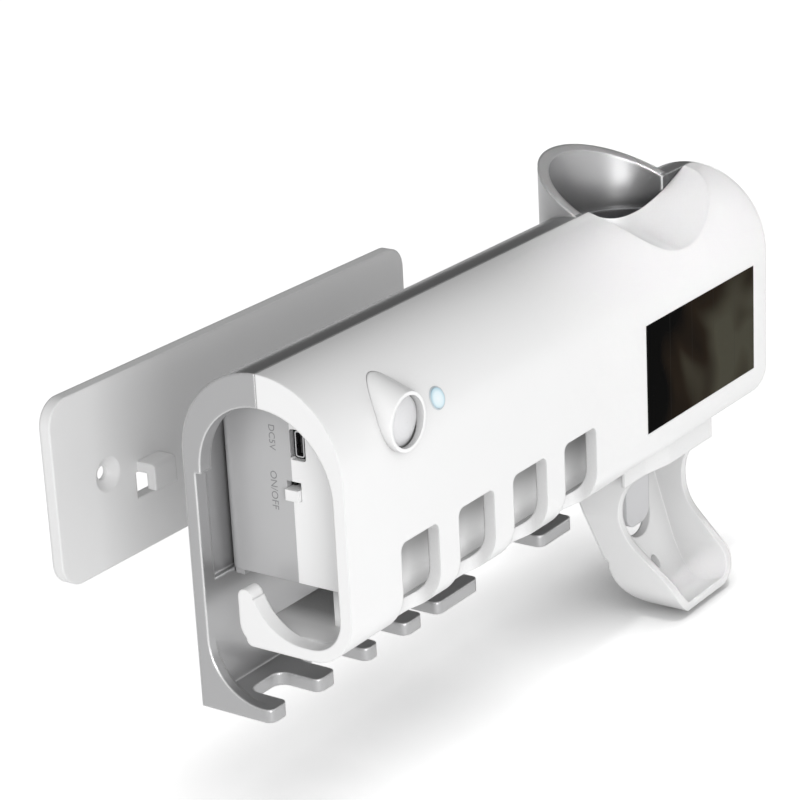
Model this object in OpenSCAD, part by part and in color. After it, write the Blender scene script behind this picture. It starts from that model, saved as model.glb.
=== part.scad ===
// Wall-hung toothpaste dispenser with brush slots, shown lifted off its wall plate.
// Millimetres. Origin at the centre of the plate's back face, +X right, -Y toward the user, +Z up.
// Inside the housing modules X runs from the left end, Y from the seam and Z from the top.

/* [Housing] */
// Length of the housing
house_l = 240; // [236:1:270]
// Radius of the rounded top, which is half of the depth
shell_r = 27.5; // [27:0.1:29]
// Height of the front cover
cover_h = 81.5; // [80:0.5:88]
// Radius where the cover's face turns under
nose_r = 14.5; // [12:0.5:16]
// Wall of both shells
shell_wall = 4; // [3.4:0.1:4.2]
// Wall of the back shell beside the electronics case
back_wall = 2.2; // [1.8:0.1:2.6]
// Thickness of the right end wall
end_wall = 3; // [2:0.1:4]
// How far the cover's floor runs behind the seam
floor_back = 9.5; // [8:0.5:10.5]
// Height of the back shell, down to the fork shelf
back_h = 104.5; // [102:0.5:110]
// Depth of the thick rim at the left end
rim_l = 5; // [4:0.1:7]
// How much thicker than the wall the rim is at its top
rim_drop = 5.8; // [3:0.1:8]
// Wall of the rim's arch in the back shell
arch_wall = 5.9; // [5:0.1:6.5]
// Gap between parts that are assembled together
fit_gap = 0.3; // [0.2:0.05:0.4]

/* [Hanging finger at the left end] */
// How far the finger reaches behind the seam
j_reach = 11.5; // [10.5:0.1:12.5]
// Thickness of the finger
j_wall = 4.2; // [3.4:0.1:4.6]
// Thickness of the rim under the open end
j_floor = 3.6; // [2.6:0.1:3.8]
// Radius in which the rim turns up into the finger
j_curve = 17.5; // [14:0.5:18]
// Height of the finger above the underside
j_rise = 17; // [13:0.5:20]

/* [Brush slots] */
// Number of brush slots
slot_n = 4; // [2:1:4]
// Left edge of the first slot
slot_first = 24.5; // [22:0.5:27]
// Distance from slot to slot
slot_pitch = 28.6; // [26:0.1:30]
// Width of a slot
slot_w = 18.5; // [14:0.5:20]
// Depth of the slots' top edge below the housing's top
slot_top = 53; // [48:0.5:60]
// Distance from the seam to the slots' rear end in the underside
slot_back = 17.5; // [16:0.5:20]
// Corner radius at the slots' top
slot_r = 2.5; // [1.5:0.1:4]
// Corner radius at the slots' rear end
slot_end_r = 5; // [3:0.5:7]

/* [Fork shelf] */
// How much shorter than the housing the fork shelf is
fork_short = 78; // [75:1:84]
// Thickness of the shelf
fork_t = 4; // [3:0.1:5]
// Distance from the seam to the fingers' front
fork_front = 2.5; // [1:0.5:5]
// Distance from the seam to the bottom of the notches
fork_root = 17; // [14:0.5:19]
// Corner radius of the finger tips
finger_r = 2.5; // [1.5:0.1:3]
// Corner radius in the notches
notch_r = 3.8; // [2:0.1:3.9]
// Radius of the gusset between wall and shelf
gusset_r = 17.5; // [14:0.5:20]
// Thickness of the gusset
gusset_t = 3.5; // [3:0.5:7]

/* [Tube inlet] */
// Distance from the right end to the axis of the tube
inlet_in = 45.5; // [44:0.5:50]
// How much wider than the housing's rounding the collar is
collar_over = 1.5; // [1:0.1:1.8]
// Wall of the collar
collar_wall = 3.6; // [2.6:0.1:4]
// How far the collar's centre lies in front of the seam
collar_fore = 2; // [1.8:0.1:4]
// Slope of the collar's rim
collar_slope = 25.2; // [15:0.5:30]
// Depth of the scoop where it meets the seam
scoop_depth = 7.2; // [5:0.1:8]
// Radius of the scoop's cone at the seam
scoop_r = 46.5; // [42:0.5:54]
// Half angle of the scoop's cone
scoop_half = 38; // [34:1:42]
// Angle by which the scoop falls toward the front
scoop_dip = 14.2; // [12:0.2:17]
// Angle by which the scoop turns to the left
scoop_skew = 23.5; // [18:0.5:27]
// Wall under the scoop
scoop_wall = 3; // [2:0.1:3.4]
// Height of the tube socket
socket_h = 23; // [18:0.5:24]
// Wall of the tube socket
socket_wall = 2; // [1.4:0.1:2.5]
// Distance from the tube seal to the back wall
seal_in = 2.6; // [2.6:0.1:3.4]
// Bore radius of the tube seal
seal_bore = 5.5; // [4:0.1:6]

/* [Solar panel] */
// Width of the solar glass
solar_w = 70.9; // [60:0.5:74]
// Height of the solar glass
solar_h = 35.7; // [28:0.5:38]
// Depth of the solar glass's top edge below the housing's top
solar_top = 30.4; // [29.5:0.1:34]
// Thickness of the solar glass
glass_t = 1; // [0.8:0.1:1.2]
// Thickness of the board with the cells
cells_t = 1.2; // [0.8:0.1:1.4]

/* [Motion sensor and indicator] */
// Distance from the left end to the sensor
sensor_x = 28.8; // [27:0.1:31]
// Depth of the sensor below the housing's top
sensor_z = 18.2; // [17.5:0.1:20]
// Radius of the sensor's lens
lens_r = 7.2; // [6.5:0.1:7.6]
// Distance from the left end to the indicator
led_x = 47.6; // [45:0.1:50]
// Depth of the indicator below the housing's top
led_z = 17.9; // [16:0.1:20]
// Radius of the indicator
led_r = 2.9; // [2.4:0.1:3.4]

/* [Electronics] */
// Distance from the left end to the electronics case
case_x = 13.2; // [11:0.1:15]
// Distance from the electronics case to the tube's axis
case_clear = 42.5; // [41:0.5:45]
// Depth of the case's underside below the housing's top
case_bot = 65.8; // [64:0.1:68]
// Wall of the electronics case and of its lid
case_wall = 2; // [1.6:0.1:2.4]
// Radius of the case's rear left corner
case_corner = 4; // [3:0.5:6]
// How far the lid's tray reaches in front of the seam
lid_depth = 9.8; // [9:0.1:9.9]
// Thickness of the circuit board
board_t = 1.6; // [1:0.1:2]
// Distance from the case's end to the circuit board
board_in = 7.3; // [6.5:0.1:8]
// Radius of the battery cell
cell_r = 9.1; // [7:0.1:9.2]
// Length of the battery cell
cell_l = 65; // [50:0.5:66]
// Width of the charging socket's opening
usb_w = 5.2; // [4.4:0.1:5.6]
// Height of the charging socket's opening
usb_h = 9; // [8.2:0.1:10]
// Height of the switch's window
window_h = 5.5; // [5:0.1:6.5]
// Width of the switch's window
window_w = 4.9; // [4:0.1:5.5]
// Height of the switch's knob
knob_h = 3.3; // [2.5:0.1:3.4]
// How far the knob stands out of the case
knob_out = 1.4; // [0.8:0.1:2]
// Thickness of the brush liner
liner_t = 2; // [1.5:0.1:2]
// Fillet at the foot of the brush liner
liner_r = 5; // [3:0.5:5.4]

/* [Pump] */
// How far the pump's axis lies behind the seam
pump_y = 10; // [9.5:0.1:10.5]
// Gap between the pump body and the back wall
pump_back = 1; // [0.5:0.1:2]
// Wall of the pump body
pump_wall = 3; // [2:0.1:3.4]
// Height of the pump body
pump_h = 20; // [19:0.5:20.5]
// Running gap round the plunger's head
plunger_gap = 0.1; // [0.05:0.01:0.15]
// Height of the plunger's head
head_h = 4; // [3:0.1:5]
// Radius of the plunger's rod
rod_r = 4; // [3:0.1:4.5]
// Free height of the return spring
spring_h = 8; // [7:0.5:8]
// Thickness of the plunger's foot bar
foot_t = 3.7; // [3:0.1:4]
// Width of the outlet nozzle
nozzle_w = 15; // [10:0.5:17]
// Thickness of the outlet nozzle
nozzle_t = 5; // [4:0.1:5]
// Length of the outlet nozzle
nozzle_l = 60; // [52:0.5:60]

/* [Squeeze lever] */
// Width of the lever
lever_w = 45; // [42:0.5:46]
// Wall of the lever
lever_wall = 2.8; // [2:0.1:3]
// How far the pivot lies in front of the seam
pivot_y = 9; // [8.8:0.1:9.2]
// Depth of the pivot below the housing's top
pivot_z = 71; // [71:0.1:71.5]
// Radius of the lever's pin
pin_r = 2; // [1.5:0.1:2.2]
// Running clearance between pin and lever
pin_clear = 0.05; // [0.02:0.01:0.1]
// Radius of the lever's barrel
barrel_r = 4; // [3.5:0.1:4.3]
// Radius of the lever's bowl, seen from the side
bowl_r = 19.6; // [18:0.1:21]
// Slope of the lever's back wall
lever_slope = 22.2; // [20:0.2:24]
// Radius of the bowl's corners, seen from the front
bowl_corner = 14; // [9:0.5:14.5]
// How much each side of the lever draws in toward the bottom
lever_taper = 4.2; // [3:0.1:5]
// Width of the window in the lever's back wall
hole_w = 22; // [20:0.5:24]
// Thickness of the bracket's cheeks
bracket_t = 2.5; // [2:0.1:3]
// Gap between a bracket's cheek and the lever
bracket_gap = 0.5; // [0.3:0.1:0.8]

/* [Wall plate] */
// Length of the plate
plate_l = 182; // [175:1:200]
// Height of the plate
plate_h = 59.5; // [54:0.5:70]
// Thickness of the plate
plate_t = 4; // [3:0.1:5]
// Corner radius of the plate
plate_r = 8; // [5:0.5:12]
// Distance between the two wall screws
screw_span = 135; // [125:1:140]
// Radius of a wall screw's hole
screw_r = 2.25; // [2:0.05:2.6]
// Radius of a wall screw's countersink
sink_r = 5.5; // [4.5:0.1:6]
// Distance of each hook from the plate's middle
hook_half = 49; // [47:0.5:51]
// Width of a hook
hook_w = 10; // [8:0.5:11]
// How far a hook stands out of the plate
hook_out = 7; // [6:0.1:7.2]
// Thickness of a hook
hook_t = 3.4; // [3:0.1:3.8]
// Height of a hook
hook_h = 8.5; // [7.5:0.1:9]
// Distance between the plate and the housing as shown
stand_off = 61.5; // [20:0.5:80]

/* [Hidden] */
$fn = 72;
eps = 0.01;
big = 200;

// Place of the housing, and of the plate's middle inside the housing
plate_cx = house_l / 2 - 16;
plate_cz = 57.6;
seam_y = -(shell_r + stand_off + plate_t);

// Insides of the shells
inner_r = shell_r - shell_wall;
floor_z = -cover_h + shell_wall;
rim_top = -(shell_wall + rim_drop);
arch_r = shell_r - arch_wall;
arch_low = rim_top - arch_r - 1.2;
shelf_z = -back_h + fork_t;
fork_l = house_l - fork_short;

// Tube inlet, pump and lever share one axis
inlet_x = house_l - inlet_in;

// Case and lid fit inside the shells with the gap; the case sits in a recess of the back wall
case_r = inner_r - fit_gap;
case_top = -(shell_wall + fit_gap);
case_end = inlet_x - case_clear;
case_l = case_end - case_x;
recess_r = shell_r - back_wall;
case_back = recess_r - fit_gap;
case_boss = 12;
cell_y = case_back - case_wall - cell_r - 3.3;
cell_z = -38;
cell_x = case_end - 17 - cell_l;
usb_z = -24.4;
window_y = -0.55;
window_z = -38.15;
board_x = case_x + board_in;
uv_t = 1.2;
uv_h = 9;
uv_y = -lid_depth - 0.2 - liner_t - uv_t;
uv_z = -22;

// Collar, socket, seal and pump
collar_r = shell_r + collar_over;
collar_in = collar_r - collar_wall;
seal_y = pump_y + 1.6;
seal_r = inner_r - seal_in - seal_y;
pump_r = inner_r - pump_back - pump_y;
stem_w = 10;
socket_r = collar_in - 0.2;
socket_top = -(scoop_depth + scoop_wall + 0.8);
socket_bot = socket_top - socket_h;
pump_top = socket_bot;
pump_bot = pump_top - pump_h;
foot_top = pump_bot - spring_h;
foot_bot = foot_top - foot_t;
head_top = pump_bot + 8;
scoop_side = 12.4;

// Lever
lever_x = inlet_x - lever_w / 2;
bowl_y = -22;
bowl_z = -117;
taper_z = -103;
heel_top = foot_bot - fit_gap;
heel_h = 8;
heel_len = 20;
heel_w = 7;
lip_y = -14.8;
lip_z = -133.6;
lip_r = 14;
dip_y = -25.6;
dip_z = -101.5;
dip_r = 16.8;
bowl_low = bowl_z - bowl_r - 0.6;
taper_dir = atan2(lever_taper, taper_z - bowl_low);
groove_z = bowl_z - 4;

// Fork notches: left edge and width of each; the last one ends at the right finger
finger_w = 19.5;
notches = [[8, 14.5], [31, 15], [52.5, 13.5], [75.5, 8], [106, fork_l - 106 - finger_w]];

// Screws that close the housing: two rows, in the cover's bosses and in the case
boss_r = 3.5;
bore_r = 1.55;
head_r = 3;
head_sink = 1.2;
screw_high = -34;
screw_low = -72.5;
screw_left = inlet_x - 32.5;
screw_right = inlet_x + 34.5;
cover_screws = [for (x = [screw_left, screw_right]) for (z = [screw_high, screw_low]) [x, z]];
case_screws_at = [for (x = [case_x + 17, case_end - 10]) [x, screw_high]];

// Slot in the back wall for a hook
hook_top = -(plate_cz + 0.4);

module at_house() {
    translate([-plate_cx, seam_y, plate_cz])
        children();
}

// Extrudes a (y, z) profile along X
module ex(x0, len) {
    translate([x0, 0, 0])
        rotate([90, 0, 90])
            linear_extrude(height = len)
                children();
}

// Extrudes an (x, z) profile along Y
module ey(y0, len) {
    translate([0, y0 + len, 0])
        rotate([90, 0, 0])
            linear_extrude(height = len)
                children();
}

// Extrudes an (x, y) profile along Z
module ez(z0, len) {
    translate([0, 0, z0])
        linear_extrude(height = len)
            children();
}

// Waste outside a rounded corner at (x, y), whose material lies toward (sx, sy)
module bite(x, y, sx, sy, r) {
    translate([x, y])
        difference() {
            translate([sx > 0 ? -1 : -r, sy > 0 ? -1 : -r])
                square(r + 1);
            translate([sx * r, sy * r])
                circle(r);
        }
}

module rrect(x0, y0, w, h, r) {
    difference() {
        translate([x0, y0])
            square([w, h]);
        bite(x0, y0, 1, 1, r);
        bite(x0 + w, y0, -1, 1, r);
        bite(x0, y0 + h, 1, -1, r);
        bite(x0 + w, y0 + h, -1, -1, r);
    }
}

// Front half of a housing section: round top, flat face, round nose
module half_block(r, top, bot, nose, past) {
    difference() {
        translate([-r, bot])
            square([r + past, top - bot]);
        difference() {
            translate([-r - 1, top - r])
                square([r + 1, r + 1]);
            translate([0, top - r])
                circle(r);
        }
        if (nose > 0)
            bite(-r, bot, 1, 1, nose);
    }
}

module cover_section() {
    half_block(shell_r, 0, -cover_h, nose_r, 0);
    difference() {
        translate([-1, -cover_h])
            square([1 + floor_back, shell_wall]);
        bite(floor_back, -cover_h, -1, 1, shell_wall / 2);
    }
}

module cover_hollow() {
    half_block(inner_r, -shell_wall, floor_z, nose_r - shell_wall, 1);
}

// Rim of the open left end, with the finger that hangs behind it
module finger_blank() {
    tip_r = 0.6 * j_wall;
    difference() {
        translate([-nose_r, -cover_h])
            square([nose_r + j_reach, j_rise - tip_r]);
        bite(j_reach, -cover_h, -1, 1, 7);
        bite(-nose_r, -cover_h, 1, 1, 2);
    }
    translate([j_reach - tip_r, -cover_h + j_rise - tip_r])
        circle(tip_r);
}

module rim_hollow() {
    difference() {
        union() {
            half_block(inner_r, rim_top, -cover_h + j_floor, nose_r - shell_wall, 0);
            translate([-1, -cover_h + j_floor])
                square([1 + j_reach - j_wall, j_rise]);
        }
        bite(j_reach - j_wall, -cover_h + j_floor, -1, 1, j_curve);
    }
}

module slot_cut(x0) {
    turn = -cover_h + nose_r;
    ey(-shell_r - 5, shell_r - 8)
        difference() {
            translate([x0, turn - eps])
                square([slot_w, -slot_top - turn + eps]);
            bite(x0, -slot_top, 1, -1, slot_r);
            bite(x0 + slot_w, -slot_top, -1, -1, slot_r);
        }
    ez(-cover_h - 5, nose_r + 5)
        difference() {
            translate([x0, -shell_r - 5])
                square([slot_w, shell_r + 5 - slot_back]);
            bite(x0, -slot_back, 1, -1, slot_end_r);
            bite(x0 + slot_w, -slot_back, -1, -1, slot_end_r);
        }
}

// Cone that hollows the scoop: it narrows toward the front and turns to the left
module scoop_cone(grow) {
    taper = tan(scoop_half);
    wide = scoop_r + grow / cos(scoop_half);
    translate([inlet_x + scoop_side, 0, -scoop_depth])
        rotate([0, 0, -scoop_skew])
            rotate([90 + scoop_half + scoop_dip, 0, 0])
                translate([0, scoop_r, -30])
                    cylinder(r1 = wide + 30 * taper, r2 = wide - 45 * taper, h = 75, $fn = 180);
}

module scoop_floor() {
    intersection() {
        ex(inlet_x - 36, house_l - inlet_x + 36 - eps)
            half_block(shell_r - eps, -eps, -36, 0, -eps);
        scoop_cone(scoop_wall);
    }
}

// Points along the normal of the round top, at a depth below the top
module on_top(x, depth) {
    translate([x, 0, -shell_r])
        rotate([90 - asin((shell_r - depth) / shell_r), 0, 0])
            children();
}

module boss(at, r, y0, y1) {
    translate([at[0], y1, at[1]])
        rotate([90, 0, 0])
            cylinder(r = r, h = y1 - y0);
}

module solar_pocket(depth, gap) {
    ey(-shell_r - 1, depth + 1)
        translate([inlet_x + 1.15 - solar_w / 2 - gap, -solar_top - solar_h - gap])
            square([solar_w + 2 * gap, solar_h + 2 * gap]);
}

// Strip under the cover in front of the lever; its face comes forward toward the right
module lever_skirt() {
    x0 = lever_x - 7.3;
    back = -14.6;
    ez(-cover_h - 6.7, 9.2)
        polygon([
            [x0, back],
            [x0, back - 1.2],
            [x0 + 13, back - 1.2],
            [x0 + 25, back - 3.4],
            [x0 + 54, back - 3.4],
            [x0 + 57, back]
        ]);
}

module front_cover() {
    color("white")
        at_house()
            difference() {
                union() {
                    difference() {
                        ex(0, house_l)
                            cover_section();
                        ex(rim_l, house_l - rim_l - end_wall)
                            cover_hollow();
                    }
                    ex(0, rim_l)
                        finger_blank();
                    scoop_floor();
                    for (at = cover_screws)
                        boss(at, boss_r, -inner_r - 1, inner_r);
                    lever_skirt();
                }
                ex(-1, rim_l + 1)
                    rim_hollow();
                for (i = [0:slot_n - 1])
                    slot_cut(slot_first + i * slot_pitch);
                scoop_cone(0);
                solar_pocket(glass_t + cells_t, 0.1);
                translate([sensor_x, 0, -sensor_z])
                    rotate([90, 0, 0])
                        cylinder(r = lens_r + 1.1, h = shell_r + 5);
                on_top(led_x, led_z)
                    cylinder(r = led_r + 0.1, h = shell_r + 5);
                translate([lever_x - 1, -14.5, -cover_h - 20])
                    cube([lever_w + 2.5, 40, 30]);
                for (at = cover_screws)
                    boss(at, bore_r, 6, inner_r + 1);
            }
}

module back_section() {
    difference() {
        mirror([1, 0])
            half_block(shell_r, 0, -back_h, 0, 0);
        mirror([1, 0])
            half_block(inner_r, -shell_wall, -back_h - 1, 0, 1);
    }
}

// Rim of the back shell: a thick arch that ends in a step above the straight wall
module back_rim() {
    difference() {
        mirror([1, 0])
            half_block(shell_r, 0, -back_h + 1, 0, 0);
        mirror([1, 0])
            half_block(arch_r, rim_top, arch_low - eps, 0, 1);
        translate([-1, -back_h])
            square([1 + inner_r, back_h + arch_low]);
    }
}

module fork() {
    ez(-back_h, fork_t)
        difference() {
            translate([0, fork_front])
                square([fork_l, shell_r - fork_front]);
            for (n = notches) {
                difference() {
                    translate([n[0], fork_front - 1])
                        square([n[1], fork_root - fork_front + 1]);
                    bite(n[0], fork_root, 1, -1, notch_r);
                    bite(n[0] + n[1], fork_root, -1, -1, notch_r);
                }
                bite(n[0], fork_front, -1, 1, finger_r);
                bite(n[0] + n[1], fork_front, 1, 1, finger_r);
            }
            bite(0, fork_front, 1, 1, finger_r);
            bite(fork_l, fork_front, -1, 1, finger_r);
        }
}

module gusset(x0) {
    ex(x0, gusset_t)
        difference() {
            translate([inner_r - gusset_r, shelf_z - 1])
                square([gusset_r + 1, gusset_r + 1]);
            translate([inner_r - gusset_r, shelf_z + gusset_r])
                circle(gusset_r);
            translate([inner_r - gusset_r - 1, shelf_z + gusset_r - eps])
                square([gusset_r, 2]);
        }
}

module collar(r, low) {
    intersection() {
        translate([inlet_x, -collar_fore, low])
            cylinder(r = r, h = 40 - low, $fn = 128);
        translate([inlet_x - 40, 0, low])
            cube([80, shell_r + 2, 40 - low]);
    }
}

module back_shell() {
    color("silver")
        at_house()
            difference() {
                union() {
                    difference() {
                        ex(0, house_l)
                            back_section();
                        ex(rim_l, case_end + fit_gap - rim_l)
                            mirror([1, 0])
                                half_block(recess_r, -back_wall, -case_bot - fit_gap, 0, 1);
                    }
                    ex(0, rim_l)
                        back_rim();
                    ex(house_l - end_wall, end_wall)
                        mirror([1, 0])
                            half_block(shell_r, 0, floor_z, 0, 0);
                    fork();
                    gusset(0);
                    gusset(fork_l - gusset_t);
                    intersection() {
                        collar(collar_r, -20);
                        ex(inlet_x - 40, 80)
                            polygon([[0, -30], [0, 0], [60, 60 * tan(collar_slope)], [60, -30]]);
                    }
                }
                collar(collar_in, socket_bot - 2);
                for (s = [-1, 1])
                    translate([plate_cx + s * hook_half - hook_w / 2 - 1, inner_r - 1, hook_top - hook_h - 1.5])
                        cube([hook_w + 2, shell_wall + 2, hook_h + 2.5]);
                for (at = concat(cover_screws, case_screws_at)) {
                    boss(at, bore_r + 0.15, inner_r - 1, shell_r + 1);
                    boss(at, head_r + 0.2, shell_r - head_sink, shell_r + 1);
                }
            }
}

module tube_socket() {
    color("gainsboro")
        at_house()
            difference() {
                intersection() {
                    translate([inlet_x, -collar_fore, socket_bot])
                        cylinder(r = socket_r, h = socket_h, $fn = 128);
                    translate([inlet_x - 40, 0.2, socket_bot])
                        cube([80, 60, socket_h]);
                }
                intersection() {
                    translate([inlet_x, -collar_fore, socket_bot + socket_wall])
                        cylinder(r = socket_r - socket_wall, h = socket_h, $fn = 128);
                    translate([inlet_x - 40, 0.2 + socket_wall, socket_bot + socket_wall])
                        cube([80, 60, socket_h]);
                }
                translate([inlet_x, seal_y, socket_bot - 1])
                    cylinder(r = seal_r + 0.1, h = socket_wall + 2);
            }
}

module tube_seal() {
    color("dimgray")
        at_house()
            translate([inlet_x, seal_y, socket_bot])
                difference() {
                    cylinder(r = seal_r, h = socket_wall + 2);
                    translate([0, 0, -1])
                        cylinder(r = seal_bore, h = socket_wall + 4);
                }
}

module usb_cut() {
    ex(case_x - 1, case_wall + 2)
        rrect(-usb_w, usb_z - usb_h / 2, usb_w, usb_h, 0.8);
}

module window_cut() {
    ex(case_x - 1, case_wall + 2)
        translate([window_y - window_w / 2, window_z - window_h / 2])
            square([window_w, window_h]);
}

// Pockets that keep the case clear of the plate's hooks
module hook_pocket(grow) {
    for (s = [-1, 1])
        translate([
            plate_cx + s * hook_half - hook_w / 2 - 2 - grow,
            shell_r - hook_out - 1 - grow,
            -case_bot - 1
        ])
            cube([hook_w + 4 + 2 * grow, 20, case_bot + 1 + hook_top + 2 + grow]);
}

// Small foot under the case's rear left corner
module case_foot() {
    translate([case_x + 1, inner_r - fit_gap - 3, -case_bot - 2])
        cube([2.4, 3, 3]);
}

module electronics_case() {
    color("darkgray")
        at_house()
            difference() {
                union() {
                    difference() {
                        ex(case_x, case_l)
                            mirror([1, 0])
                                half_block(case_back, -back_wall - fit_gap, -case_bot, 0, 0);
                        ez(-case_bot - 1, case_bot + 2)
                            bite(case_x, case_back, 1, -1, case_corner);
                        difference() {
                            ex(case_x + case_wall, case_l - 2 * case_wall)
                                mirror([1, 0])
                                    half_block(case_back - case_wall, case_top - case_wall, -case_bot + case_wall, 0, 1);
                            ez(-case_bot - 1, case_bot + 2)
                                bite(case_x + case_wall, case_back - case_wall, 1, -1, case_corner - case_wall);
                            hook_pocket(case_wall);
                        }
                        hook_pocket(0);
                    }
                    for (at = case_screws_at)
                        boss(at, boss_r, case_boss, case_back);
                    case_foot();
                }
                for (at = case_screws_at)
                    boss(at, bore_r, case_boss + 1, case_back + 1);
                usb_cut();
                window_cut();
            }
}

module case_lid() {
    color("whitesmoke")
        at_house()
            difference() {
                ex(case_x, case_l)
                    half_block(case_r, case_top, -case_bot, 0, 0);
                difference() {
                    ex(case_x + case_wall, case_l - 2 * case_wall)
                        half_block(case_r - case_wall, case_top - case_wall, -case_bot + case_wall, 0, 1);
                    ex(case_x, case_l)
                        translate([-big, -big])
                            square([big - lid_depth + case_wall, 2 * big]);
                }
                ex(case_x + case_wall, case_l)
                    translate([-big, -big])
                        square([big - lid_depth, 2 * big]);
                usb_cut();
                window_cut();
            }
}

module brush_liner() {
    back = lid_depth + 0.2;
    face = back + liner_t;
    len = case_l - case_wall - 0.2;
    color("lightsteelblue")
        at_house() {
            ex(case_x + case_wall + 0.2, len)
                difference() {
                    translate([-face - liner_r, floor_z])
                        square([liner_t + liner_r, -floor_z - 2 * shell_wall]);
                    translate([-face - liner_r, floor_z + liner_r])
                        circle(liner_r);
                    translate([-face - liner_r - 1, floor_z + liner_r])
                        square([liner_r + 1, big]);
                    bite(-inner_r, floor_z, 1, 1, nose_r - shell_wall);
                }
            ex(case_end - liner_t, liner_t)
                intersection() {
                    half_block(case_r, case_top, floor_z, nose_r - shell_wall, 0);
                    translate([-shell_r, -big])
                        square([shell_r - face + 1, 2 * big]);
                }
        }
}

module circuit_board() {
    color("green")
        at_house()
            translate([board_x, -lid_depth + case_wall + 0.5, -case_bot + case_wall])
                cube([board_t, lid_depth + 14, 50]);
}

module battery_cell() {
    color("orange")
        at_house()
            ex(cell_x, cell_l)
                translate([cell_y, cell_z])
                    circle(cell_r);
}

module battery_cradle() {
    color("dimgray")
        at_house()
            ex(cell_x - 1.5, cell_l + 3)
                difference() {
                    translate([cell_y + 2, cell_z - cell_r - 1])
                        square([case_back - case_wall - cell_y - 2, 2 * cell_r + 2]);
                    translate([cell_y, cell_z])
                        circle(cell_r + 0.1);
                }
}

module usb_shell() {
    color("silver")
        at_house()
            ex(case_x + 1, board_in - 1)
                difference() {
                    rrect(-usb_w / 2 - 1.5, usb_z - 3.8, 3, 7.6, 0.8);
                    rrect(-usb_w / 2 - 1.15, usb_z - 3.45, 2.3, 6.9, 0.5);
                }
}

module usb_tongue() {
    color("black")
        at_house() {
            ex(case_x + 2, board_in - 2)
                translate([-usb_w / 2 - 0.35, usb_z - 2.8])
                    square([0.7, 5.6]);
            ex(case_x + board_in - 1, 1)
                rrect(-usb_w / 2 - 1.1, usb_z - 3.4, 2.2, 6.8, 0.5);
        }
}

module switch_body() {
    color("dimgray")
        at_house()
            difference() {
                ex(case_x + case_wall + 0.5, board_in - case_wall - 0.5)
                    translate([window_y - 3.4, window_z - 6])
                        square([6.8, 12]);
                ex(case_x + case_wall, 3)
                    translate([window_y - 1.2, window_z - window_h / 2 - 0.2])
                        square([2.4, window_h + 0.4]);
            }
}

module switch_knob() {
    color("white")
        at_house() {
            low = window_z - window_h / 2 + 0.15;
            ex(case_x - knob_out, knob_out + case_wall + 0.3)
                translate([window_y - window_w / 2 + 0.2, low])
                    square([window_w - 0.4, knob_h]);
            ex(case_x + case_wall, 2.6)
                translate([window_y - 1, low])
                    square([2, knob_h]);
        }
}

// A round rim that faces forward, with a hood that runs up and back over the round top
module sensor_bezel() {
    bezel_y = -shell_r - 1.6;
    hood_y = -shell_r + 11;
    hood_rise = 3.9;
    color("white")
        at_house()
            difference() {
                union() {
                    difference() {
                        hull() {
                            boss([sensor_x, -sensor_z], lens_r + 1.3, bezel_y, bezel_y + 0.6);
                            boss([sensor_x, -sensor_z], lens_r + 1.7, 2 - shell_r, 3 - shell_r);
                            boss([sensor_x, -sensor_z + hood_rise], lens_r + 1.5, hood_y, hood_y + 1);
                        }
                        ex(0, 60)
                            half_block(shell_r, 0, -40, 0, 0);
                    }
                    translate([sensor_x, -shell_r + 8.5, -sensor_z])
                        rotate([90, 0, 0])
                            cylinder(r = lens_r + 1, h = 7.5);
                }
                translate([sensor_x, 0, -sensor_z])
                    rotate([90, 0, 0])
                        cylinder(r = lens_r + 0.2, h = shell_r + 10);
            }
}

module sensor_lens() {
    color("whitesmoke")
        at_house()
            translate([sensor_x, -shell_r + 1, -sensor_z])
                rotate([90, 0, 0])
                    difference() {
                        intersection() {
                            translate([0, 0, -4])
                                cylinder(r = lens_r, h = 8);
                            translate([0, 0, -12])
                                sphere(r = 14.2);
                        }
                        intersection() {
                            translate([0, 0, -5])
                                cylinder(r = lens_r - 1, h = 8);
                            translate([0, 0, -12])
                                sphere(r = 13.2);
                        }
                    }
}

module sensor_can() {
    color("silver")
        at_house()
            translate([sensor_x, -shell_r + 8.5, -sensor_z])
                rotate([90, 0, 0]) {
                    cylinder(r = lens_r - 0.1, h = 1);
                    cylinder(r = 4.6, h = 4.5);
                }
}

module led_lens() {
    flange_top = sqrt(pow(inner_r, 2) - pow(led_r + 1, 2)) - 0.05;
    color("lightblue")
        at_house()
            on_top(led_x, led_z) {
                translate([0, 0, flange_top - 1])
                    cylinder(r = led_r + 1, h = 1);
                translate([0, 0, flange_top - 1])
                    cylinder(r = led_r, h = shell_r + 0.3 - flange_top + 1);
            }
}

module solar_glass() {
    color("black")
        at_house()
            ey(-shell_r, glass_t)
                translate([inlet_x + 1.15 - solar_w / 2, -solar_top - solar_h])
                    square([solar_w, solar_h]);
}

module solar_cells() {
    color("midnightblue")
        at_house()
            ey(-shell_r + glass_t, cells_t)
                translate([inlet_x + 1.15 - solar_w / 2, -solar_top - solar_h])
                    square([solar_w, solar_h]);
}

module uv_board() {
    color("green")
        at_house()
            translate([slot_first, uv_y, uv_z])
                cube([(slot_n - 1) * slot_pitch + slot_w, uv_t, uv_h]);
}

module uv_leds() {
    color("violet")
        at_house()
            for (i = [0:slot_n - 1])
                translate([slot_first + slot_w / 2 + i * slot_pitch, uv_y, uv_z + uv_h / 2])
                    rotate([90, 0, 0]) {
                        cylinder(r = 2.5, h = 1);
                        cylinder(r = 1.6, h = 2);
                    }
}

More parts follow.
